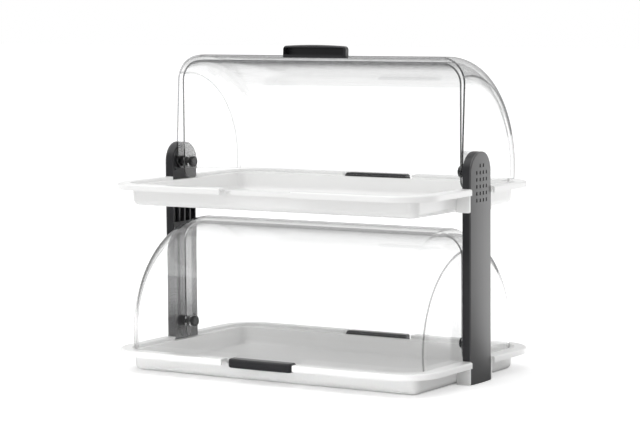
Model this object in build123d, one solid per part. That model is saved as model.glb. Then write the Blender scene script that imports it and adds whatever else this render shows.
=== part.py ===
from build123d import *
import os
from math import cos, radians, sin, sqrt

# Two-tier roll-top display bin. X runs along the long side, -Y is the front, +Z is up.
# The origin lies on the table, under the middle of the bin. All sizes are in millimetres.

# Trays
tray_length = 480.0
tray_depth = 320.0
tier_gap = 23.9             # from the top of the lower covers to the upper tray's underside
rim_height = 30.2           # top of the rim above the tray's underside
rim_corner_radius = 51.0
rim_thickness = 2.6
rim_edge_rounding = 2.0
lip_drop = 7.9              # height of the rim's down-turned edge
lip_thickness = 2.4
recess_depth = 4.1          # step inside the rim that takes the covers' lower edges
well_end_inset = 23.0       # from a tray's end to its well
well_side_inset = 29.5      # from a tray's long side to its well
well_corner_radius = 12.0
well_draft = 2.0            # degrees
well_foot_rounding = 8.0
tray_wall = 2.6
tray_floor = 2.8
mouth_clearance = 1.5       # from the rim's mouth to the front cover

# Covers, each about a quarter of a drum with rounded ends
pivot_height = 49.6         # pivot axis above the tray's underside
cover_side_inset = 14.0     # from a tray's long side to the front cover's curved wall
cover_end_inset = 18.0      # from a tray's end to the front cover's end wall
front_cover_corner_radius = 34.0
cover_wall = 2.5
nest_gap = 4.5              # between the two covers' curved walls
end_gap = 3.9               # between the two covers' end walls
cover_lift = 2.0            # a closed cover's lower edge above the recess
front_cover_overlap = 9.5   # the closed front cover's top edge past the pivot
rear_cover_overlap = 13.0   # the closed rear cover's top edge past the pivot
cover_heel_radius = 12.0    # rounding of an end wall's corner below the pivot
cover_edge_rounding = 0.6
opening_angle = 93.5        # degrees
hub_radius = 8.0
front_hub_height = 1.0      # outside the front cover's end walls
rear_hub_height = 2.4       # inside the rear cover's end walls

# Grips on the covers' lower edges
grip_length = 96.5
grip_height = 12.0
grip_depth = 14.5           # out from the cover
grip_crown = 1.5            # bulge of the grip's face
grip_wall = 2.2             # round the finger recess in the grip's underside
grip_web = 1.5              # from the cover's outer face to the finger recess
grip_recess_corner = 2.0
grip_end_rounding = 5.0
grip_edge_rounding = 3.0
grip_seat_clearance = 0.05
grip_stop_gap = 0.4         # a rolled-back cover's edge above the other cover's grip
notch_side_clearance = 6.0
notch_back_clearance = 0.9
notch_wall_drop = 5.5       # height of the notch's back wall
notch_corner_radius = 2.5

# Side posts
post_half_width = 26.7
post_channel_depth = 10.4
post_web = 2.4
post_wall = 2.5
post_edge_rounding = 0.8
post_cover_thickness = 2.0  # at the post cover's edges
post_cover_crown = 1.5      # bulge of the post cover's middle
post_cover_rounding = 0.8
post_fit = 0.3              # post to tray
spigot_radius = 6.5
spigot_gap = 0.3            # spigot to the front cover's hub
spigot_inward = 0.5         # the spigot's length inside the channel
pivot_recess_half_width = 21.5
pivot_recess_half_height = 8.5
pivot_recess_depth = 4.5
pivot_ledge_height = 2.5
pivot_ledge_depth = 0.7

# Vents in the posts
vent_columns = 4
vent_pitch = 8.4
vent_row_pitch = 8.8
vent_rows = 5               # full rows, with a short row of two above
vent_drop = 35.0            # lowest row below the upper pivot
vent_slot_width = 2.9
vent_slot_height = 4.6
grille_height = 27.0
grille_drop = 5.5           # top of the grille below the upper tray's underside
grille_columns = 4
grille_pitch = 12.6
grille_slot_width = 10.6
grille_rib_depth = 3.4

# Pegs that hold the post covers
peg_radius = 2.0
peg_length = 3.6
peg_socket_wall = 1.5
peg_clearance = 0.05
peg_offset = 19.0
peg_foot = 26.0             # height of the lowest pegs
peg_drop = 47.5             # highest pegs below the upper tray's underside

# Pivot pins, with the clips and spacers on them
pin_radius = 3.0
pin_head_radius = 7.2
pin_head_thickness = 4.2
pin_head_rounding = 0.8
pin_bore_clearance = 0.08
pin_play = 0.3              # axial gap between pieces on a pin
pin_end_length = 2.2        # pin past the spigot's inner end
clip_radius = 5.5
clip_thickness = 0.8
clip_groove_depth = 0.6
clip_mouth = 3.6
spacer_radius = 6.0

# Screws that hold the trays' ears to the posts
screw_radius = 2.0
screw_head_radius = 3.8
screw_head_height = 2.4
screw_hole_clearance = 0.2
screw_offset = 14.0
screw_height = 10.0         # above the tray's underside
screw_boss_radius = 4.5
screw_boss_length = 4.6
screw_tip_gap = 0.4
cheek_thickness = 2.8
ear_web = 3.0               # the ear's wall behind the post
ear_gap = 0.3               # ear to the post's inner face

# Worked-out places
front_cover_radius = tray_depth / 2 - cover_side_inset
front_cover_half_length = tray_length / 2 - cover_end_inset
well_half_length = tray_length / 2 - well_end_inset
well_half_depth = tray_depth / 2 - well_side_inset
tier_pitch = pivot_height + front_cover_radius + tier_gap
mouth_half_length = front_cover_half_length + mouth_clearance
post_inner_face = mouth_half_length + ear_gap
rear_cover_radius = front_cover_radius - cover_wall - nest_gap
pivot_setback = (front_cover_radius - rear_cover_radius) / 2    # behind the trays' middle
rear_cover_half_length = front_cover_half_length - cover_wall - end_gap
rear_cover_corner_radius = front_cover_corner_radius - cover_wall - nest_gap
ledge_height = rim_height - recess_depth
cover_drop = pivot_height - ledge_height - cover_lift   # a closed cover's lower edge below the pivot
mouth_half_depth = front_cover_radius - pivot_setback + mouth_clearance
over_centre = radians(opening_angle - 90)
grip_top_drop = (
    front_cover_overlap * cos(over_centre)
    + front_cover_radius * sin(over_centre)
    + grip_stop_gap
)
spigot_tip = front_cover_half_length + front_hub_height + spigot_gap
spigot_end = post_inner_face + pivot_recess_depth + post_web + spigot_inward
post_outer_face = post_inner_face + post_channel_depth
arch_height = tier_pitch + pivot_height
pin_head_face = rear_cover_half_length - cover_wall - rear_hub_height - pin_play
pin_end = spigot_end + pin_end_length
clip_face = spigot_end + pin_play
ear_face = post_inner_face - ear_gap
ear_back = ear_face - ear_web
cheek_end = post_outer_face + post_cover_thickness


def edge_reach(radius):
    """Distance from the pivot to a drum's surface at the height of the covers' lower edges."""
    return sqrt(radius**2 - cover_drop**2)


def slab(length, depth, radius, bottom, top):
    """Rounded rectangle between two heights."""
    return Pos(0, 0, bottom) * extrude(RectangleRounded(length, depth, radius), top - bottom)


def block(x, y, z):
    """Box between the given pairs of coordinates."""
    middle = Pos((x[0] + x[1]) / 2, (y[0] + y[1]) / 2, (z[0] + z[1]) / 2)
    return middle * Box(x[1] - x[0], y[1] - y[0], z[1] - z[0])


def rod(radius, start, end, y=0.0, z=0.0):
    """Round bar along X from start to end."""
    return Pos((start + end) / 2, y, z) * Rot(0, 90, 0) * Cylinder(radius, end - start)


def both_sides(shape):
    """The shape and its mirror image at the other end of the bin."""
    return shape + mirror(shape, Plane.YZ)


def grip_reach(radius):
    """Distance from the pivot to the flat back of a grip on a cover of this radius."""
    return edge_reach(radius - cover_wall)


# ---- trays ----

def tray_rim():
    bottom = rim_height - lip_drop
    rim = slab(tray_length, tray_depth, rim_corner_radius, bottom, rim_height)
    rim = fillet(rim.edges().group_by(Axis.Z)[-1], rim_edge_rounding)
    return rim - slab(
        tray_length - 2 * lip_thickness,
        tray_depth - 2 * lip_thickness,
        rim_corner_radius - lip_thickness,
        bottom,
        rim_height - rim_thickness,
    )


def well_form(inset, bottom, top, foot_rounding):
    """Drafted block with the well's outline, smaller by the inset all round."""
    outline = RectangleRounded(
        2 * (well_half_length - inset), 2 * (well_half_depth - inset), well_corner_radius - inset
    )
    form = Pos(0, 0, bottom) * extrude(outline, top - bottom, taper=-well_draft)
    return fillet(form.edges().group_by(Axis.Z)[0], foot_rounding)


def ear():
    """Pocket for a post at the right end: a web against the post and a cheek on each side."""
    slot_half = post_half_width + post_fit
    cheeks = block(
        (well_half_length, cheek_end),
        (-slot_half - cheek_thickness, slot_half + cheek_thickness),
        (0, rim_height),
    )
    cheeks = fillet(
        cheeks.edges().filter_by(Axis.Y).group_by(Axis.X)[-1], rim_edge_rounding
    )
    hollow = block(
        (well_half_length, ear_back), (-slot_half, slot_half), (0, ledge_height - tray_wall)
    )
    form = cheeks - hollow
    for side in (-1, 1):
        form += rod(
            screw_boss_radius,
            ear_back - screw_boss_length,
            ear_back,
            side * screw_offset,
            screw_height,
        )
    return form


def ear_cuts():
    """The post's slot, the rim's set-back beside it and the screws' holes at the right end."""
    slot_half = post_half_width + post_fit
    cuts = block(
        (ear_face, tray_length / 2 + 1), (-slot_half, slot_half), (-1, rim_height + 1)
    )
    cuts += block(
        (cheek_end, tray_length / 2 + 1),
        (-slot_half - cheek_thickness, slot_half + cheek_thickness),
        (-1, rim_height + 1),
    )
    for side in (-1, 1):
        start = ear_back - screw_boss_length - 1
        cuts += rod(screw_radius, start, ear_face + 1, side * screw_offset, screw_height)
    return cuts


def notch_half_length():
    return grip_length / 2 + notch_side_clearance


def notch_wall_face():
    """Distance of a notch's back wall from the middle, clear of either cover's grip."""
    return grip_reach(rear_cover_radius) + pivot_setback - notch_back_clearance


def tray():
    form = tray_rim()
    form += slab(
        2 * (mouth_half_length + tray_wall),
        2 * (mouth_half_depth + tray_wall),
        front_cover_corner_radius + tray_wall,
        ledge_height - tray_wall,
        rim_height,
    )
    form += well_form(0, 0, ledge_height, well_foot_rounding)
    form += Pos(0, pivot_setback, 0) * both_sides(ear())
    form -= slab(
        2 * mouth_half_length,
        2 * mouth_half_depth,
        front_cover_corner_radius,
        ledge_height,
        rim_height + 1,
    )
    half = notch_half_length()
    notch = block(
        (-half, half), (-tray_depth / 2 - 1, -notch_wall_face()), (1, rim_height + 1)
    )
    notch = fillet(notch.edges().filter_by(Axis.Z).group_by(Axis.Y)[-1], notch_corner_radius)
    wall = block(
        (-half, half),
        (-notch_wall_face(), -well_half_depth + tray_wall),
        (ledge_height - notch_wall_drop, ledge_height),
    )
    for turn in (0, 180):
        form -= Rot(0, 0, turn) * notch
        form += Rot(0, 0, turn) * wall
    form -= well_form(tray_wall, tray_floor, ledge_height + 1, well_foot_rounding - 1)
    return form - Pos(0, pivot_setback, 0) * both_sides(ear_cuts())


# ---- covers ----

def drum(radius, half_length, corner_radius):
    """Solid drum about the X axis with rounded rims."""
    outline = make_face(
        Polyline(
            (-half_length, 0), (-half_length, radius), (half_length, radius), (half_length, 0),
            close=True,
        )
    )
    rims = outline.vertices().group_by(Axis.Y)[-1]
    return revolve(fillet(rims, corner_radius), Axis.X)


def cover(radius, half_length, corner_radius, overlap, hub_face, hub_tip):
    """Closed front cover about the X axis, with a hub on each end wall."""
    shell = drum(radius, half_length, corner_radius) - drum(
        radius - cover_wall, half_length - cover_wall, corner_radius - cover_wall
    )
    reach = radius + 1
    outline = Plane.YZ * Pos((overlap - reach) / 2, (reach - cover_drop) / 2) * Rectangle(
        reach + overlap, reach + cover_drop
    )
    heel = outline.vertices().sort_by(Axis.Z)[:2].sort_by(Axis.Y)[-1]
    quarter = extrude(fillet(heel, cover_heel_radius), half_length + 1, both=True)
    shell &= quarter
    cut_faces = shell.faces().filter_by(
        lambda face: abs(face.center().Y - overlap) < 0.01
        or abs(face.center().Z + cover_drop) < 0.01
    )
    shell = fillet(cut_faces.edges(), cover_edge_rounding)
    shell += both_sides(rod(hub_radius, hub_face, hub_tip))
    bore = rod(pin_radius + pin_bore_clearance, -half_length - 2, half_length + 2)
    return shell - bore


def front_cover():
    return cover(
        front_cover_radius,
        front_cover_half_length,
        front_cover_corner_radius,
        front_cover_overlap,
        front_cover_half_length,
        front_cover_half_length + front_hub_height,
    )


def rear_cover():
    return mirror(
        cover(
            rear_cover_radius,
            rear_cover_half_length,
            rear_cover_corner_radius,
            rear_cover_overlap,
            rear_cover_half_length - cover_wall - rear_hub_height,
            rear_cover_half_length - cover_wall,
        ),
        Plane.XZ,
    )


def grip(radius):
    """Front grip for a closed cover of this radius, seated round the cover's lower edge."""
    back = grip_reach(radius)
    face = edge_reach(radius) + grip_depth
    half = grip_length / 2
    outline = make_face(
        Polyline((-half, -face + grip_crown), (-half, -back), (half, -back), (half, -face + grip_crown))
        + ThreePointArc((-half, -face + grip_crown), (0, -face), (half, -face + grip_crown))
    )
    outline = fillet(outline.vertices().group_by(Axis.Y)[0], grip_end_rounding)
    bar = Pos(0, 0, -grip_top_drop - grip_height) * extrude(outline, grip_height)
    outer_edges = [
        edge
        for level in (0, -1)
        for edge in bar.edges().group_by(Axis.Z)[level]
        if edge.center().Y < -back - 1
    ]
    bar = fillet(outer_edges, grip_edge_rounding)
    seat = rod(radius + grip_seat_clearance, -half - 1, half + 1)
    seat -= block(
        (-half - 2, half + 2),
        (-radius - 1, radius + 1),
        (-radius - 1, -cover_drop - grip_seat_clearance),
    )
    finger_recess = block(
        (-half + grip_wall, half - grip_wall),
        (-face + grip_crown + grip_wall, -edge_reach(radius) - grip_web),
        (-grip_top_drop - grip_height - 1, -grip_top_drop - grip_wall),
    )
    corners = finger_recess.edges().filter_by(Axis.Z)
    return bar - seat - fillet(corners, grip_recess_corner)


# ---- side posts ----

def post_outline(inset):
    """The post's outline seen from the side, smaller by the inset all round."""
    half = post_half_width - inset
    foot = Pos(0, (inset + arch_height) / 2) * Rectangle(2 * half, arch_height - inset)
    return Plane.YZ * (foot + Pos(0, arch_height) * Circle(half))


def spread(count, pitch):
    """Places of this many pieces at this pitch, about the middle."""
    return [pitch * (n - (count - 1) / 2) for n in range(count)]


def peg_places():
    highest = tier_pitch - peg_drop
    heights = (peg_foot, (peg_foot + highest) / 2, highest)
    return [(side * peg_offset, height) for side in (-1, 1) for height in heights]


def post():
    """Right post: an open-backed channel with its web towards the trays."""
    form = Pos(post_inner_face, 0, 0) * extrude(post_outline(0), post_channel_depth)
    form = fillet(form.faces().sort_by(Axis.X)[0].edges(), post_edge_rounding)
    web_back = post_inner_face + post_web
    form -= Pos(web_back, 0, 0) * extrude(post_outline(post_wall), post_channel_depth)
    for tier in (0, tier_pitch):
        pivot = tier + pivot_height
        form += block(
            (web_back, web_back + pivot_recess_depth),
            (-pivot_recess_half_width - post_web, pivot_recess_half_width + post_web),
            (
                pivot - pivot_recess_half_height - post_web,
                pivot + pivot_recess_half_height + post_web,
            ),
        )
        form -= block(
            (post_inner_face - 1, post_inner_face + pivot_recess_depth),
            (-pivot_recess_half_width, pivot_recess_half_width),
            (pivot - pivot_recess_half_height, pivot + pivot_recess_half_height),
        )
        form += block(
            (post_inner_face - pivot_ledge_depth, post_inner_face),
            (-pivot_recess_half_width, pivot_recess_half_width),
            (
                pivot - pivot_recess_half_height - pivot_ledge_height,
                pivot - pivot_recess_half_height,
            ),
        )
        form += rod(spigot_radius, spigot_tip, spigot_end, 0, pivot)
        form -= rod(pin_radius + pin_bore_clearance, spigot_tip - 1, spigot_end + 1, 0, pivot)
        for side in (-1, 1):
            form -= rod(
                screw_radius + screw_hole_clearance,
                post_inner_face - 1,
                web_back + 1,
                side * screw_offset,
                tier + screw_height,
            )
    grille_top = tier_pitch - grille_drop
    for y in spread(grille_columns, grille_pitch):
        form -= block(
            (post_inner_face - 1, web_back + 1),
            (y - grille_slot_width / 2, y + grille_slot_width / 2),
            (grille_top - grille_height, grille_top),
        )
    rib_width = grille_pitch - grille_slot_width
    for y in spread(grille_columns - 1, grille_pitch):
        form += block(
            (web_back, web_back + grille_rib_depth),
            (y - rib_width / 2, y + rib_width / 2),
            (grille_top - grille_height, grille_top),
        )
    for y, z in peg_places():
        form += rod(peg_radius + peg_socket_wall, web_back, post_outer_face, y, z)
        form -= rod(
            peg_radius + peg_clearance, post_outer_face - peg_length, post_outer_face + 1, y, z
        )
    return form


def post_cover():
    """Right post's outer plate, with its vents and pegs."""
    thickest = post_cover_thickness + post_cover_crown
    form = Pos(post_outer_face, 0, 0) * extrude(post_outline(0), thickest)
    bulge_radius = (post_half_width**2 + post_cover_crown**2) / (2 * post_cover_crown)
    bulge = Cylinder(bulge_radius, 3 * arch_height)
    form &= Pos(post_outer_face + thickest - bulge_radius, 0, 0) * bulge
    outer_edges = [edge for edge in form.edges() if edge.center().X > post_outer_face + 0.1]
    form = fillet(
        [edge for edge in outer_edges if edge.length > 2 * thickest], post_cover_rounding
    )
    vent_bottom = arch_height - vent_drop
    columns = spread(vent_columns, vent_pitch)
    places = [
        (y, vent_bottom + row * vent_row_pitch) for row in range(vent_rows) for y in columns
    ]
    top_row = vent_bottom + vent_rows * vent_row_pitch
    places += [(y, top_row) for y in columns if abs(y) < vent_pitch]
    for y, z in places:
        form -= block(
            (post_outer_face - 1, post_outer_face + thickest + 1),
            (y - vent_slot_width / 2, y + vent_slot_width / 2),
            (z - vent_slot_height / 2, z + vent_slot_height / 2),
        )
    for y, z in peg_places():
        form += rod(peg_radius, post_outer_face - peg_length + 0.3, post_outer_face, y, z)
    return form


# ---- fasteners ----

def pivot_pin():
    """Right pin: a domed head inside the covers and a groove for the clip."""
    head_tip = pin_head_face - pin_head_thickness
    head = rod(pin_head_radius, head_tip, pin_head_face)
    head = fillet(head.edges().sort_by(Axis.X)[0], pin_head_rounding)
    pin = head + rod(pin_radius, pin_head_face, pin_end)
    groove = rod(pin_radius + 1, clip_face, clip_face + clip_thickness)
    groove -= rod(pin_radius - clip_groove_depth, clip_face, clip_face + clip_thickness)
    return pin - groove


def pivot_clip():
    """Right pin's open retaining ring."""
    ring = rod(clip_radius, clip_face, clip_face + clip_thickness)
    ring -= rod(pin_radius - clip_groove_depth, clip_face - 1, clip_face + clip_thickness + 1)
    return ring - block(
        (clip_face - 1, clip_face + clip_thickness + 1),
        (-clip_mouth / 2, clip_mouth / 2),
        (-clip_radius - 1, 0),
    )


def pivot_spacer():
    """Right spacer, between the two covers' end walls."""
    start = rear_cover_half_length + pin_play
    end = front_cover_half_length - cover_wall - pin_play
    ring = rod(spacer_radius, start, end)
    return ring - rod(pin_radius, start - 1, end + 1)


def tray_screws():
    """The four screws at the right end, two for each tray."""
    seat = post_inner_face + post_web
    tip = ear_back - screw_boss_length + screw_tip_gap
    screw = rod(screw_radius, tip, seat)
    screw += rod(screw_head_radius, seat, seat + screw_head_height)
    return Compound(
        [
            Pos(0, side * screw_offset, tier + screw_height) * screw
            for tier in (0, tier_pitch)
            for side in (-1, 1)
        ]
    )


# ---- the bin ----

def assemble():
    parts = {}
    tray_form = tray()
    front = front_cover()
    rear = rear_cover()
    front_grip = grip(front_cover_radius)
    rear_grip = mirror(grip(rear_cover_radius), Plane.XZ)
    # the upper front cover stands rolled back over the rear one
    turns = {"lower": 0, "upper": -opening_angle}
    for tier, base in (("lower", 0), ("upper", tier_pitch)):
        pivot = Pos(0, pivot_setback, base + pivot_height)
        front_place = pivot * Rot(turns[tier], 0, 0)
        parts[f"{tier}_tray"] = Pos(0, 0, base) * tray_form
        parts[f"{tier}_front_cover"] = front_place * front
        parts[f"{tier}_front_grip"] = front_place * front_grip
        parts[f"{tier}_rear_cover"] = pivot * rear
        parts[f"{tier}_rear_grip"] = pivot * rear_grip
        for name, shape in (
            ("pivot_pin", pivot_pin()),
            ("pivot_clip", pivot_clip()),
            ("pivot_spacer", pivot_spacer()),
        ):
            parts[f"{tier}_right_{name}"] = pivot * shape
            parts[f"{tier}_left_{name}"] = pivot * mirror(shape, Plane.YZ)
    for name, shape in (
        ("post", post()),
        ("post_cover", post_cover()),
        ("tray_screws", tray_screws()),
    ):
        parts[f"right_{name}"] = Pos(0, pivot_setback, 0) * shape
        parts[f"left_{name}"] = Pos(0, pivot_setback, 0) * mirror(shape, Plane.YZ)
    return parts


os.makedirs("parts", exist_ok=True)
for node, shape in assemble().items():
    export_step(shape, f"parts/{node}.step")
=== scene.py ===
from math import cos, radians, sin

import bpy
from mathutils import Matrix, Vector

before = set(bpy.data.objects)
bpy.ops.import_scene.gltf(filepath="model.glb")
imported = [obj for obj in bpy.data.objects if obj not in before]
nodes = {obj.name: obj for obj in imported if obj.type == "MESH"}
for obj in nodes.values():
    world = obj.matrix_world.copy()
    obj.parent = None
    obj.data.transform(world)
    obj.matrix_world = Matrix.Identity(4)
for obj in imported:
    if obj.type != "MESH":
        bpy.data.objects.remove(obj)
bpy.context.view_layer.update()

print("frame loaded:", len(nodes), "nodes")


def newMaterial(name):
    mat = bpy.data.materials.new(name)
    mat.use_nodes = True
    tree = mat.node_tree
    for node in list(tree.nodes):
        tree.nodes.remove(node)
    out = tree.nodes.new("ShaderNodeOutputMaterial")
    out.location = (600, 0)
    return mat, tree, out


def addNode(tree, kind, x=0, y=0, **settings):
    node = tree.nodes.new(kind)
    node.location = (x, y)
    for key, value in settings.items():
        setattr(node, key, value)
    return node


def newGroup(name, inputs, outputs):
    group = bpy.data.node_groups.new(name, "ShaderNodeTree")
    for socketName, kind, default in inputs:
        socket = group.interface.new_socket(name=socketName, in_out="INPUT", socket_type=kind)
        socket.default_value = default
    for socketName, kind in outputs:
        group.interface.new_socket(name=socketName, in_out="OUTPUT", socket_type=kind)
    start = addNode(group, "NodeGroupInput", -900)
    end = addNode(group, "NodeGroupOutput", 600)
    return group, start, end


# one noise for tone and roughness, one fine one for the moulded grain's height
def makeMouldedGroup():
    group, start, end = newGroup(
        "mouldedPlastic",
        [
            ("Color", "NodeSocketColor", (0.8, 0.8, 0.8, 1)),
            ("Mottle", "NodeSocketFloat", 0.04),
            ("Mottle Scale", "NodeSocketFloat", 14.0),
            ("Grain Scale", "NodeSocketFloat", 900.0),
            ("Roughness", "NodeSocketFloat", 0.35),
            ("Roughness Spread", "NodeSocketFloat", 0.08),
        ],
        [
            ("Color", "NodeSocketColor"),
            ("Roughness", "NodeSocketFloat"),
            ("Height", "NodeSocketFloat"),
        ],
    )
    links = group.links
    coords = addNode(group, "ShaderNodeTexCoord", -900, -300)
    mottle = addNode(group, "ShaderNodeTexNoise", -650, 150)
    mottle.inputs["Detail"].default_value = 3.0
    grain = addNode(group, "ShaderNodeTexNoise", -650, -150)
    grain.inputs["Detail"].default_value = 2.0
    links.new(coords.outputs["Object"], mottle.inputs["Vector"])
    links.new(coords.outputs["Object"], grain.inputs["Vector"])
    links.new(start.outputs["Mottle Scale"], mottle.inputs["Scale"])
    links.new(start.outputs["Grain Scale"], grain.inputs["Scale"])
    centred = addNode(group, "ShaderNodeMath", -450, 150, operation="SUBTRACT")
    centred.inputs[1].default_value = 0.5
    links.new(mottle.outputs["Fac"], centred.inputs[0])
    amount = addNode(group, "ShaderNodeMath", -280, 150, operation="MULTIPLY_ADD")
    amount.inputs[2].default_value = 1.0
    links.new(centred.outputs[0], amount.inputs[0])
    links.new(start.outputs["Mottle"], amount.inputs[1])
    tint = addNode(group, "ShaderNodeVectorMath", -80, 200, operation="SCALE")
    links.new(start.outputs["Color"], tint.inputs[0])
    links.new(amount.outputs[0], tint.inputs["Scale"])
    links.new(tint.outputs[0], end.inputs["Color"])
    rough = addNode(group, "ShaderNodeMath", -80, 0, operation="MULTIPLY_ADD")
    links.new(centred.outputs[0], rough.inputs[0])
    links.new(start.outputs["Roughness Spread"], rough.inputs[1])
    links.new(start.outputs["Roughness"], rough.inputs[2])
    links.new(rough.outputs[0], end.inputs["Roughness"])
    links.new(grain.outputs["Fac"], end.inputs["Height"])
    return group


mouldedGroup = makeMouldedGroup()


def mouldedMaterial(name, look):
    mat, tree, out = newMaterial(name)
    surface = addNode(tree, "ShaderNodeBsdfPrincipled", 300)
    moulded = addNode(tree, "ShaderNodeGroup", -200)
    moulded.node_tree = mouldedGroup
    moulded.inputs["Color"].default_value = (*look["color"], 1)
    moulded.inputs["Mottle"].default_value = look["mottle"]
    moulded.inputs["Mottle Scale"].default_value = look["mottleScale"]
    moulded.inputs["Grain Scale"].default_value = look["grainScale"]
    moulded.inputs["Roughness"].default_value = look["roughness"]
    moulded.inputs["Roughness Spread"].default_value = look["roughnessSpread"]
    bump = addNode(tree, "ShaderNodeBump", 50, -250)
    bump.inputs["Strength"].default_value = look["grainStrength"]
    bump.inputs["Distance"].default_value = look["grainDepth"]
    tree.links.new(moulded.outputs["Color"], surface.inputs["Base Color"])
    tree.links.new(moulded.outputs["Roughness"], surface.inputs["Roughness"])
    tree.links.new(moulded.outputs["Height"], bump.inputs["Height"])
    tree.links.new(bump.outputs["Normal"], surface.inputs["Normal"])
    surface.inputs["IOR"].default_value = look["ior"]
    surface.inputs["Coat Weight"].default_value = look["coat"]
    surface.inputs["Coat Roughness"].default_value = look["coatRoughness"]
    tree.links.new(surface.outputs[0], out.inputs["Surface"])
    return mat


def dress(nodeNames, mat):
    for name in nodeNames:
        for slot in nodes[name].material_slots:
            slot.material = mat


trayLook = {
    "color": (0.86, 0.86, 0.855),
    "mottle": 0.03,
    "mottleScale": 9.0,
    "grainScale": 1100.0,
    "grainStrength": 0.12,
    "grainDepth": 0.00008,
    "roughness": 0.3,
    "roughnessSpread": 0.1,
    "ior": 1.5,
    "coat": 0.25,
    "coatRoughness": 0.15,
}
dress(["lower_tray", "upper_tray"], mouldedMaterial("trayWhite", trayLook))

postLook = dict(
    trayLook, color=(0.018, 0.018, 0.02), mottle=0.2, roughness=0.36, coat=0.0, grainStrength=0.2
)
plateLook = dict(postLook, color=(0.07, 0.07, 0.071), roughness=0.32)
gripLook = dict(postLook, color=(0.022, 0.022, 0.024), roughness=0.3)
pinLook = dict(postLook, color=(0.012, 0.012, 0.013), roughness=0.22)
spacerLook = dict(postLook, color=(0.03, 0.03, 0.03), roughness=0.5)

sides = ("left", "right")
tiers = ("lower", "upper")
dress([f"{side}_post" for side in sides], mouldedMaterial("postBlack", postLook))
dress([f"{side}_post_cover" for side in sides], mouldedMaterial("plateAnthracite", plateLook))
dress(
    [f"{tier}_{face}_grip" for tier in tiers for face in ("front", "rear")],
    mouldedMaterial("gripBlack", gripLook),
)
pinnedPlaces = [f"{tier}_{side}_pivot" for tier in tiers for side in sides]
dress([f"{place}_pin" for place in pinnedPlaces], mouldedMaterial("pinBlack", pinLook))
dress([f"{place}_spacer" for place in pinnedPlaces], mouldedMaterial("spacerBlack", spacerLook))

steelLook = {
    "color": (0.55, 0.55, 0.57),
    "roughness": 0.28,
    "roughnessSpread": 0.2,
    "brushScale": 500.0,
}


def steelMaterial(look):
    mat, tree, out = newMaterial("fastenerSteel")
    surface = addNode(tree, "ShaderNodeBsdfPrincipled", 300)
    surface.inputs["Base Color"].default_value = (*look["color"], 1)
    surface.inputs["Metallic"].default_value = 1.0
    coords = addNode(tree, "ShaderNodeTexCoord", -600)
    brush = addNode(tree, "ShaderNodeTexNoise", -400)
    brush.inputs["Scale"].default_value = look["brushScale"]
    rough = addNode(tree, "ShaderNodeMath", -150, operation="MULTIPLY_ADD")
    rough.inputs[1].default_value = look["roughnessSpread"]
    rough.inputs[2].default_value = look["roughness"] - look["roughnessSpread"] / 2
    tree.links.new(coords.outputs["Object"], brush.inputs["Vector"])
    tree.links.new(brush.outputs["Fac"], rough.inputs[0])
    tree.links.new(rough.outputs[0], surface.inputs["Roughness"])
    tree.links.new(surface.outputs[0], out.inputs["Surface"])
    return mat


dress(
    [f"{place}_clip" for place in pinnedPlaces] + [f"{side}_tray_screws" for side in sides],
    steelMaterial(steelLook),
)

clearLook = {
    "color": (0.993, 0.994, 0.994),
    # painted shade for the covers' edges seen aslant and their corner line
    "paintedEdgeColor": (0.42, 0.422, 0.424),
    "edgePower": 5.5,            # higher draws the edges thinner
    "cornerInset": 0.0025,       # from the front covers' hubs in to the painted dark line on their moulded corner
    "cornerHalfWidth": 0.0008,
    "cornerShadeStrength": 0.65,
    "ior": 1.49,
    "roughness": 0.015,
    "smearScale": 7.0,
    "smear": 0.03,
    "lampColor": (1.0, 1.0, 1.0),
    "deepest": 6.5,              # surfaces met; past that light passes straight out
    "trapped": 1.5,              # reflections; light caught inside a wall passes out dimmed
    "trappedColor": (0.6, 0.602, 0.604),
}


# slightly uneven, as a wiped cover is
def addSmear(tree, look, coords):
    smear = addNode(tree, "ShaderNodeTexNoise", -600, -200)
    smear.inputs["Scale"].default_value = look["smearScale"]
    smear.inputs["Detail"].default_value = 4.0
    rough = addNode(tree, "ShaderNodeMath", -350, -200, operation="MULTIPLY_ADD")
    rough.inputs[1].default_value = look["smear"]
    rough.inputs[2].default_value = look["roughness"] - look["smear"] / 2
    rough.use_clamp = True
    tree.links.new(coords.outputs["Object"], smear.inputs["Vector"])
    tree.links.new(smear.outputs["Fac"], rough.inputs[0])
    return rough.outputs[0]


# painted dark edges: where a cover is seen aslant, the light passing through is tinted dark, a
# painted stand-in for the dark surroundings seen in the wall; this draws the double line along
# each rounded edge
def addPaintedEdgeShade(tree, look):
    facing = addNode(tree, "ShaderNodeLayerWeight", -200, 750)
    facing.inputs["Blend"].default_value = 0.5
    edge = addNode(tree, "ShaderNodeMath", 0, 750, operation="POWER")
    edge.inputs[1].default_value = look["edgePower"]
    tree.links.new(facing.outputs["Facing"], edge.inputs[0])
    return edge.outputs[0]


# painted shade: a thin dark line drawn on the moulded corner between drum and end wall, in place
# of the dark reflection that corner bends into view
def addPaintedCornerLine(tree, look, coords):
    links = tree.links
    coverEnd = max(corner[0] for corner in nodes["upper_front_cover"].bound_box)
    axes = addNode(tree, "ShaderNodeSeparateXYZ", -600, 900)
    outwards = addNode(tree, "ShaderNodeMath", -450, 900, operation="ABSOLUTE")
    offCorner = addNode(tree, "ShaderNodeMath", -300, 900, operation="SUBTRACT")
    offCorner.inputs[1].default_value = coverEnd - look["cornerInset"]
    aside = addNode(tree, "ShaderNodeMath", -150, 900, operation="ABSOLUTE")
    line = addNode(tree, "ShaderNodeMapRange", 0, 900, interpolation_type="SMOOTHSTEP")
    line.inputs["From Max"].default_value = look["cornerHalfWidth"]
    line.inputs["To Min"].default_value = look["cornerShadeStrength"]
    line.inputs["To Max"].default_value = 0.0
    links.new(coords.outputs["Object"], axes.inputs[0])
    links.new(axes.outputs["X"], outwards.inputs[0])
    links.new(outwards.outputs[0], offCorner.inputs[0])
    links.new(offCorner.outputs[0], aside.inputs[0])
    links.new(aside.outputs[0], line.inputs["Value"])
    return line.outputs[0]


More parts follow.
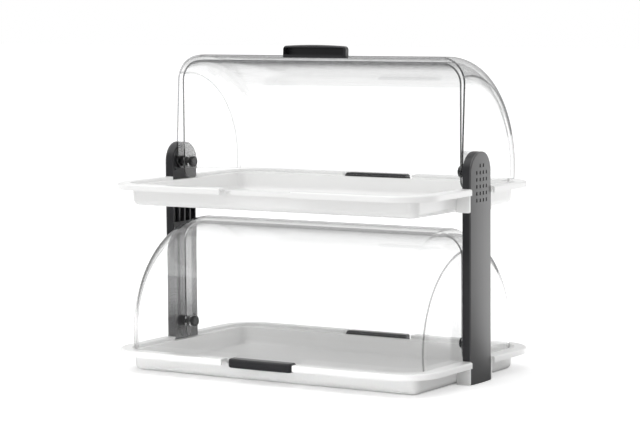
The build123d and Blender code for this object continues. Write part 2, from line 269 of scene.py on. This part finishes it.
def clearMaterial(look):
    mat, tree, out = newMaterial("coverClear")
    links = tree.links
    coords = addNode(tree, "ShaderNodeTexCoord", -800, -200)
    surface = addNode(tree, "ShaderNodeBsdfPrincipled", 150)
    surface.inputs["Transmission Weight"].default_value = 1.0
    surface.inputs["IOR"].default_value = look["ior"]
    surface.inputs["Base Color"].default_value = (*look["color"], 1)
    links.new(addSmear(tree, look, coords), surface.inputs["Roughness"])
    # painted shade: the dark edges and the dark corner line together
    paintedDark = addNode(tree, "ShaderNodeMath", 150, 800, operation="MAXIMUM")
    links.new(addPaintedEdgeShade(tree, look), paintedDark.inputs[0])
    links.new(addPaintedCornerLine(tree, look, coords), paintedDark.inputs[1])
    # lamps and sky shine through, so that the trays under the covers stay light
    path = addNode(tree, "ShaderNodeLightPath", -200, 500)
    lighting = addNode(tree, "ShaderNodeMath", 0, 600, operation="MAXIMUM")
    lighting.use_clamp = True
    links.new(path.outputs["Is Shadow Ray"], lighting.inputs[0])
    links.new(path.outputs["Diffuse Depth"], lighting.inputs[1])
    trapped = addNode(tree, "ShaderNodeMath", 0, 450, operation="GREATER_THAN")
    trapped.inputs[1].default_value = look["trapped"]
    links.new(path.outputs["Glossy Depth"], trapped.inputs[0])
    deep = addNode(tree, "ShaderNodeMath", 0, 300, operation="GREATER_THAN")
    deep.inputs[1].default_value = look["deepest"]
    links.new(path.outputs["Ray Depth"], deep.inputs[0])
    caught = addNode(tree, "ShaderNodeMath", 150, 400, operation="MAXIMUM")
    links.new(trapped.outputs[0], caught.inputs[0])
    links.new(deep.outputs[0], caught.inputs[1])
    passing = addNode(tree, "ShaderNodeMath", 300, 300, operation="MAXIMUM")
    links.new(lighting.outputs[0], passing.inputs[0])
    links.new(caught.outputs[0], passing.inputs[1])
    leaving = addNode(tree, "ShaderNodeMath", 300, 500, operation="MAXIMUM")
    links.new(passing.outputs[0], leaving.inputs[0])
    links.new(paintedDark.outputs[0], leaving.inputs[1])
    # what passes keeps the lamps' color, but for the painted dark edges and corner line and for
    # trapped light
    clear = addNode(tree, "ShaderNodeMix", -200, -600, data_type="RGBA")
    clear.inputs["A"].default_value = (*look["paintedEdgeColor"], 1)
    clear.inputs["B"].default_value = (*look["lampColor"], 1)
    links.new(passing.outputs[0], clear.inputs["Factor"])
    dimmed = addNode(tree, "ShaderNodeMath", -200, -350, operation="SUBTRACT")
    dimmed.use_clamp = True
    links.new(trapped.outputs[0], dimmed.inputs[0])
    links.new(lighting.outputs[0], dimmed.inputs[1])
    shade = addNode(tree, "ShaderNodeMix", -50, -350, data_type="RGBA")
    shade.inputs["B"].default_value = (*look["trappedColor"], 1)
    links.new(clear.outputs["Result"], shade.inputs["A"])
    links.new(dimmed.outputs[0], shade.inputs["Factor"])
    through = addNode(tree, "ShaderNodeBsdfTransparent", 150, -350)
    links.new(shade.outputs["Result"], through.inputs["Color"])
    mix = addNode(tree, "ShaderNodeMixShader", 400)
    links.new(leaving.outputs[0], mix.inputs[0])
    links.new(surface.outputs[0], mix.inputs[1])
    links.new(through.outputs[0], mix.inputs[2])
    links.new(mix.outputs[0], out.inputs["Surface"])
    return mat


dress(
    [f"{tier}_{face}_cover" for tier in tiers for face in ("front", "rear")],
    clearMaterial(clearLook),
)
print("materials dressed")


# a bright patch towards one direction, fading out around it
def addSpot(tree, source, spot, y):
    toward = addNode(tree, "ShaderNodeVectorMath", -550, y, operation="DOT_PRODUCT")
    toward.inputs[1].default_value = spot["toward"]
    fade = addNode(tree, "ShaderNodeMapRange", -380, y, interpolation_type="SMOOTHSTEP")
    fade.inputs["From Min"].default_value = spot["dimFrom"]
    fade.inputs["From Max"].default_value = spot["brightFrom"]
    fade.inputs["To Max"].default_value = spot["level"]
    tree.links.new(source, toward.inputs[0])
    tree.links.new(toward.outputs["Value"], fade.inputs["Value"])
    return fade.outputs[0]


floorLook = {
    "size": 30.0,
    "color": (0.86, 0.86, 0.86),
    "roughness": 0.9,
    "specular": 0.1,
    "nearGlow": 0.36,          # under the bin, where its shadow shows
    "farGlow": 0.5,
    "nearRadius": 0.3,
    "farRadius": 0.75,
    "paintedMirrorShade": (0.2, 0.2, 0.2),    # painted dark tone the floor shows in mirrors, away from the backdrop and the soft box
    # painted reflections: bright patches the floor shows only in mirrors, glowing though no lamp
    # is there
    "backdrop": {
        "toward": (-0.53, 0.848, 0.0), "dimFrom": -0.1, "brightFrom": 0.75, "level": 1.0,
    },
    "softBox": {
        "toward": (0.55, 0.835, 0.0), "dimFrom": 0.89, "brightFrom": 0.985, "level": 2.8,
    },
}


def addFloorFade(tree, look, coords):
    spread = addNode(tree, "ShaderNodeVectorMath", -700, -300, operation="LENGTH")
    fade = addNode(tree, "ShaderNodeMapRange", -450, -300, interpolation_type="SMOOTHSTEP")
    fade.inputs["From Min"].default_value = look["nearRadius"]
    fade.inputs["From Max"].default_value = look["farRadius"]
    fade.inputs["To Min"].default_value = look["nearGlow"]
    fade.inputs["To Max"].default_value = look["farGlow"]
    tree.links.new(coords.outputs["Object"], spread.inputs[0])
    tree.links.new(spread.outputs["Value"], fade.inputs["Value"])
    return fade.outputs[0]


def floorMaterial(look):
    mat, tree, out = newMaterial("floorPale")
    links = tree.links
    surface = addNode(tree, "ShaderNodeBsdfPrincipled", 200)
    surface.inputs["Roughness"].default_value = look["roughness"]
    surface.inputs["Specular IOR Level"].default_value = look["specular"]
    surface.inputs["Emission Color"].default_value = (1, 1, 1, 1)
    coords = addNode(tree, "ShaderNodeTexCoord", -900, -300)
    ahead = addNode(tree, "ShaderNodeVectorMath", -700, -550, operation="NORMALIZE")
    links.new(coords.outputs["Object"], ahead.inputs[0])
    shine = addNode(tree, "ShaderNodeMath", -180, -550, operation="MAXIMUM")
    links.new(addSpot(tree, ahead.outputs[0], look["backdrop"], -550), shine.inputs[0])
    links.new(addSpot(tree, ahead.outputs[0], look["softBox"], -800), shine.inputs[1])
    # seen directly or through a cover the floor glows in full; in mirrors it glows only in its
    # spots, painted highlights of a backdrop and a soft box, and is painted dark elsewhere
    path = addNode(tree, "ShaderNodeLightPath", -700, 200)
    direct = addNode(tree, "ShaderNodeMath", -450, 100, operation="MAXIMUM")
    links.new(path.outputs["Is Camera Ray"], direct.inputs[0])
    links.new(path.outputs["Is Transmission Ray"], direct.inputs[1])
    mirrored = addNode(tree, "ShaderNodeMath", -250, 0, operation="MULTIPLY")
    links.new(path.outputs["Is Glossy Ray"], mirrored.inputs[0])
    links.new(shine.outputs[0], mirrored.inputs[1])
    shown = addNode(tree, "ShaderNodeMath", -100, 100, operation="MAXIMUM")
    links.new(direct.outputs[0], shown.inputs[0])
    links.new(mirrored.outputs[0], shown.inputs[1])
    glow = addNode(tree, "ShaderNodeMath", 50, operation="MULTIPLY")
    links.new(shown.outputs[0], glow.inputs[0])
    links.new(addFloorFade(tree, look, coords), glow.inputs[1])
    links.new(glow.outputs[0], surface.inputs["Emission Strength"])
    lost = addNode(tree, "ShaderNodeMath", -250, 300, operation="SUBTRACT")
    lost.use_clamp = True
    links.new(path.outputs["Is Glossy Ray"], lost.inputs[0])
    links.new(mirrored.outputs[0], lost.inputs[1])
    tone = addNode(tree, "ShaderNodeMix", -50, 300, data_type="RGBA")
    tone.inputs["A"].default_value = (*look["color"], 1)
    tone.inputs["B"].default_value = (*look["paintedMirrorShade"], 1)
    links.new(lost.outputs[0], tone.inputs["Factor"])
    links.new(tone.outputs["Result"], surface.inputs["Base Color"])
    links.new(surface.outputs[0], out.inputs["Surface"])
    return mat


def makeFloor(look):
    bpy.ops.mesh.primitive_plane_add(size=look["size"], location=(0, 0, 0))
    floor = bpy.context.object
    floor.name = "floor"
    floor.data.materials.append(floorMaterial(look))


makeFloor(floorLook)

worldLook = {
    "shownLevel": 1.0,      # to the camera
    "lightLevel": 0.78,     # as it lights the bin
    "glossyDim": 0.3,       # mirrored, away from the spots
    "ring": {"brightFrom": 0.2, "bright": 1.0, "dimFrom": 0.5, "dim": 0.2},
    "backdrop": {
        "toward": (-0.53, 0.843, -0.09), "dimFrom": 0.88, "brightFrom": 0.99, "level": 1.0,
    },
    "softBox": {
        "toward": (0.57, 0.82, 0.03), "dimFrom": 0.89, "brightFrom": 0.985, "level": 1.6,
    },
    "rearCeiling": {
        "toward": (0, 0.6, 0.8), "dimFrom": 0.45, "brightFrom": 0.85, "level": 1.0,
    },
}


# through the covers the whole horizon is bright, so that they stay clear from every side
def addRing(tree, coords, ring):
    axes = addNode(tree, "ShaderNodeSeparateXYZ", -700, -500)
    height = addNode(tree, "ShaderNodeMath", -550, -500, operation="ABSOLUTE")
    fade = addNode(tree, "ShaderNodeMapRange", -380, -500, interpolation_type="SMOOTHSTEP")
    fade.inputs["From Min"].default_value = ring["brightFrom"]
    fade.inputs["From Max"].default_value = ring["dimFrom"]
    fade.inputs["To Min"].default_value = ring["bright"]
    fade.inputs["To Max"].default_value = ring["dim"]
    tree.links.new(coords.outputs["Generated"], axes.inputs[0])
    tree.links.new(axes.outputs["Z"], height.inputs[0])
    tree.links.new(height.outputs[0], fade.inputs["Value"])
    return fade.outputs[0]


def makeWorld(look):
    world = bpy.data.worlds.new("studio")
    bpy.context.scene.world = world
    world.use_nodes = True
    tree = world.node_tree
    for node in list(tree.nodes):
        tree.nodes.remove(node)
    links = tree.links
    out = addNode(tree, "ShaderNodeOutputWorld", 800)
    sky = addNode(tree, "ShaderNodeBackground", 600)
    sky.inputs["Color"].default_value = (1, 1, 1, 1)
    coords = addNode(tree, "ShaderNodeTexCoord", -900)
    around = coords.outputs["Generated"]
    bright = addNode(tree, "ShaderNodeMath", -200, -200, operation="MAXIMUM")
    links.new(addSpot(tree, around, look["backdrop"], 0), bright.inputs[0])
    links.new(addSpot(tree, around, look["softBox"], -250), bright.inputs[1])
    ceiling = addNode(tree, "ShaderNodeMath", -50, -700, operation="MAXIMUM")
    ceiling.inputs[1].default_value = look["glossyDim"]
    links.new(addSpot(tree, around, look["rearCeiling"], -700), ceiling.inputs[0])
    mirrored = addNode(tree, "ShaderNodeMath", -50, -200, operation="MAXIMUM")
    links.new(bright.outputs[0], mirrored.inputs[0])
    links.new(ceiling.outputs[0], mirrored.inputs[1])
    through = addNode(tree, "ShaderNodeMath", -50, -400, operation="MAXIMUM")
    links.new(addRing(tree, coords, look["ring"]), through.inputs[0])
    links.new(bright.outputs[0], through.inputs[1])
    # a ray mirrored once sees the mirrored sky, with or without a cover in its way
    path = addNode(tree, "ShaderNodeLightPath", -700, 400)
    onward = addNode(tree, "ShaderNodeMath", -400, 500, operation="MINIMUM")
    links.new(path.outputs["Is Transmission Ray"], onward.inputs[0])
    links.new(path.outputs["Glossy Depth"], onward.inputs[1])
    anyMirrored = addNode(tree, "ShaderNodeMath", -200, 400, operation="MAXIMUM")
    links.new(path.outputs["Is Glossy Ray"], anyMirrored.inputs[0])
    links.new(onward.outputs[0], anyMirrored.inputs[1])
    plainThrough = addNode(tree, "ShaderNodeMath", -200, 550, operation="SUBTRACT")
    links.new(path.outputs["Is Transmission Ray"], plainThrough.inputs[0])
    links.new(onward.outputs[0], plainThrough.inputs[1])
    glossy = addNode(tree, "ShaderNodeMix", 0, 200)
    glossy.inputs["A"].default_value = look["lightLevel"]
    links.new(anyMirrored.outputs[0], glossy.inputs["Factor"])
    links.new(mirrored.outputs[0], glossy.inputs["B"])
    bent = addNode(tree, "ShaderNodeMix", 200, 200)
    links.new(plainThrough.outputs[0], bent.inputs["Factor"])
    links.new(glossy.outputs["Result"], bent.inputs["A"])
    links.new(through.outputs[0], bent.inputs["B"])
    direct = addNode(tree, "ShaderNodeMix", 400, 100)
    direct.inputs["B"].default_value = look["shownLevel"]
    links.new(path.outputs["Is Camera Ray"], direct.inputs["Factor"])
    links.new(bent.outputs["Result"], direct.inputs["A"])
    links.new(direct.outputs["Result"], sky.inputs["Strength"])
    links.new(sky.outputs[0], out.inputs["Surface"])


makeWorld(worldLook)
print("floor and world made")

lampLook = {
    "overhead": {
        "mirrored": True,
        "place": (-0.5, -0.6, 2.2), "aim": (0, 0, 0.2),
        "size": (2.4, 2.4), "spread": 180, "power": 24.0,
    },
    "right": {
        "mirrored": True,
        "place": (2.4, 0.2, 1.1), "aim": (0, 0, 0.2),
        "size": (1.6, 1.6), "spread": 180, "power": 0.5,
    },
    "front": {
        "mirrored": False,
        "place": (-0.3, -1.5, 0.15), "aim": (0, 0, 0.2),
        "size": (0.6, 0.6), "spread": 180, "power": 3.0,
    },
    "rear": {
        "mirrored": False,
        "place": (1.3, 2.1, 0.5), "aim": (0, 0, 0.2),
        "size": (0.9, 0.9), "spread": 180, "power": 5.0,
    },
    "base": {
        "mirrored": False,
        "place": (-0.3, -1.9, 0.04), "aim": (0, 0, 0.03),
        "size": (1.8, 0.06), "spread": 14, "power": 0.4,
    },
}


def makeLamps(look):
    for name, lamp in look.items():
        light = bpy.data.lights.new(name, "AREA")
        light.shape = "RECTANGLE"
        light.size, light.size_y = lamp["size"]
        light.spread = radians(lamp["spread"])
        light.energy = lamp["power"]
        holder = bpy.data.objects.new(name, light)
        bpy.context.scene.collection.objects.link(holder)
        place = Vector(lamp["place"])
        aim = Vector(lamp["aim"]) - place
        turn = aim.to_track_quat("-Z", "Y")
        holder.matrix_world = Matrix.Translation(place) @ turn.to_matrix().to_4x4()
        holder.visible_glossy = lamp["mirrored"]
        holder.visible_transmission = lamp["mirrored"]


makeLamps(lampLook)

viewLook = {
    "azimuth": 32.21,    # degrees from the front towards the right end
    "elevation": 5.32,
    "roll": -0.44,
    "distance": 3.185,
    "target": (-0.0027, 0.0, 0.2069),
    "focal": 2412.7,     # in pixels of a frame this wide
    "frameWidth": 640,
    "sensor": 36.0,
    "farthest": 100.0,
}


def makeCamera(look):
    az, el, roll = (radians(look[key]) for key in ("azimuth", "elevation", "roll"))
    back = Vector((sin(az) * cos(el), -cos(az) * cos(el), sin(el)))
    level = (-back).cross(Vector((0, 0, 1))).normalized()
    upright = level.cross(-back)
    across = level * cos(roll) + upright * sin(roll)
    up = -level * sin(roll) + upright * cos(roll)
    place = Vector(look["target"]) + back * look["distance"]
    data = bpy.data.cameras.new("camera")
    data.sensor_width = look["sensor"]
    data.lens = look["focal"] / look["frameWidth"] * look["sensor"]
    data.clip_end = look["farthest"]
    camera = bpy.data.objects.new("camera", data)
    bpy.context.scene.collection.objects.link(camera)
    turn = Matrix((across, up, back)).transposed().to_4x4()
    camera.matrix_world = Matrix.Translation(place) @ turn
    bpy.context.scene.camera = camera


makeCamera(viewLook)
bpy.context.scene.view_settings.view_transform = "Standard"
print("lamps and camera set")
